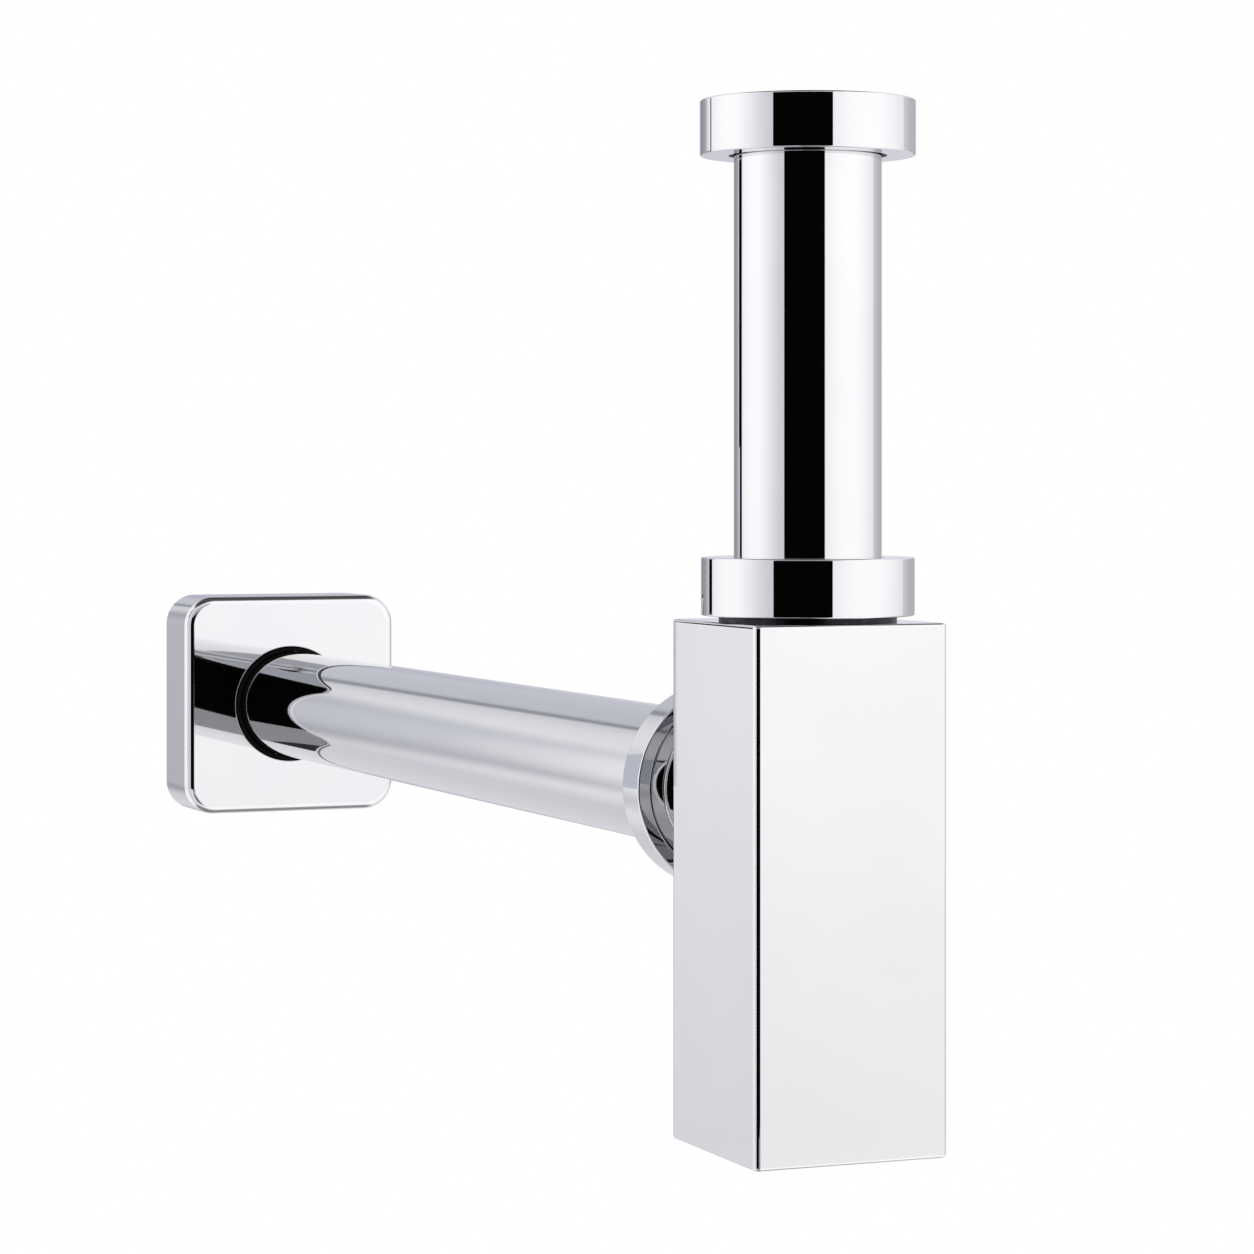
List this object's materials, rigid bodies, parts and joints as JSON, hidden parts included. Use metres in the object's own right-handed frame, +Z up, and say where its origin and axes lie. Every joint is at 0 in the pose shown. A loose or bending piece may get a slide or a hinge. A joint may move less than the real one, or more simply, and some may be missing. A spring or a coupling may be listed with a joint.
{
  "type": "square basin trap",
  "caption": "Square chromed bottle trap: telescopic inlet with slip nuts, hollow square body and level pipe to a square wall cover.",
  "frame": {"origin": "centre of the inlet nut's mouth, where the basin waste screws in", "axes": "+Z up along the inlet, +Y along the outlet pipe to the wall, -Y the front of the body"},
  "size_m": [0.0666, 0.4439, 0.2265],
  "materials": {
    "polished_chrome": "mirror polished chrome plate",
    "black_rubber": "satin moulded rubber",
    "white_nylon": "matte moulded nylon",
    "grey_plastic": "matte moulded plastic"
  },
  "bodies": {
    "inlet_nut": {"inlet_nut": "polished_chrome"},
    "inlet_slip_ring": {"inlet_slip_ring": "white_nylon"},
    "inlet_tube": {"inlet_tube": "polished_chrome", "inlet_washer": "black_rubber"},
    "collar_seal": {"collar_seal": "black_rubber"},
    "trap_body": {"trap_body": "polished_chrome", "collar_spigot": "polished_chrome", "body_base": "polished_chrome", "outlet_neck": "polished_chrome", "dip_tube": "grey_plastic", "outlet_washer": "black_rubber"},
    "collar_slip_ring": {"collar_slip_ring": "white_nylon"},
    "collar_nut": {"collar_nut": "polished_chrome"},
    "outlet_pipe": {"outlet_pipe": "polished_chrome"},
    "outlet_slip_ring": {"outlet_slip_ring": "white_nylon"},
    "outlet_nut": {"outlet_nut": "polished_chrome"},
    "cover_ring": {"cover_ring": "black_rubber"},
    "wall_cover": {"wall_cover": "polished_chrome"},
    "cleanout_o_ring": {"cleanout_o_ring": "black_rubber"},
    "cleanout_plug": {"cleanout_plug": "polished_chrome"}
  },
  "joints": [
    {"name": "inlet_nut_spin", "type": "hinge", "parent": "inlet_nut", "child": "inlet_slip_ring", "pos_m": [0, 0, -0.006], "axis": [0, 0, 1], "continuous": true},
    {"name": "inlet_nut_slide", "type": "slide", "parent": "inlet_slip_ring", "child": "inlet_tube", "axis": [0, 0, 1], "range_m": [0, 0.036]},
    {"name": "inlet_tube_telescope", "type": "slide", "parent": "inlet_tube", "child": "collar_seal", "axis": [0, 0, 1], "range_m": [-0.035, 0.04]},
    {"name": "body_swivel", "type": "hinge", "parent": "collar_seal", "child": "trap_body", "pos_m": [0, 0, -0.105], "axis": [0, 0, 1], "continuous": true},
    {"name": "collar_nut_travel", "type": "slide", "parent": "trap_body", "child": "collar_slip_ring", "axis": [0, 0, 1], "range_m": [0, 0.00924]},
    {"name": "collar_nut_screw", "type": "hinge", "parent": "collar_slip_ring", "child": "collar_nut", "pos_m": [0, 0, -0.105], "axis": [0, 0, 1], "range_deg": [0, 1440]},
    {"name": "outlet_pipe_swivel", "type": "hinge", "parent": "trap_body", "child": "outlet_pipe", "pos_m": [0, 0.2, -0.1514], "axis": [0, 1, 0], "continuous": true},
    {"name": "outlet_nut_travel", "type": "slide", "parent": "trap_body", "child": "outlet_slip_ring", "axis": [0, 1, 0], "range_m": [0, 0.00462]},
    {"name": "outlet_nut_screw", "type": "hinge", "parent": "outlet_slip_ring", "child": "outlet_nut", "pos_m": [0, 0.2, -0.1514], "axis": [0, 1, 0], "range_deg": [0, 720]},
    {"name": "wall_cover_slide", "type": "slide", "parent": "outlet_pipe", "child": "cover_ring", "axis": [0, 1, 0], "range_m": [-0.32, 0]},
    {"name": "wall_cover_turn", "type": "hinge", "parent": "cover_ring", "child": "wall_cover", "pos_m": [0, 0.2, -0.1514], "axis": [0, 1, 0], "continuous": true},
    {"name": "cleanout_plug_travel", "type": "slide", "parent": "trap_body", "child": "cleanout_o_ring", "axis": [0, 0, -1], "range_m": [0, 0.0075]},
    {"name": "cleanout_plug_screw", "type": "hinge", "parent": "cleanout_o_ring", "child": "cleanout_plug", "pos_m": [0, 0, -0.222], "axis": [0, 0, -1], "range_deg": [0, 1800]}
  ],
  "couplings": [
    {"joint": "collar_nut_travel", "follows": "collar_nut_screw", "m_per_rad": 0.00036749},
    {"joint": "outlet_nut_travel", "follows": "outlet_nut_screw", "m_per_rad": 0.00036749},
    {"joint": "cleanout_plug_travel", "follows": "cleanout_plug_screw", "m_per_rad": 0.00023873}
  ]
}
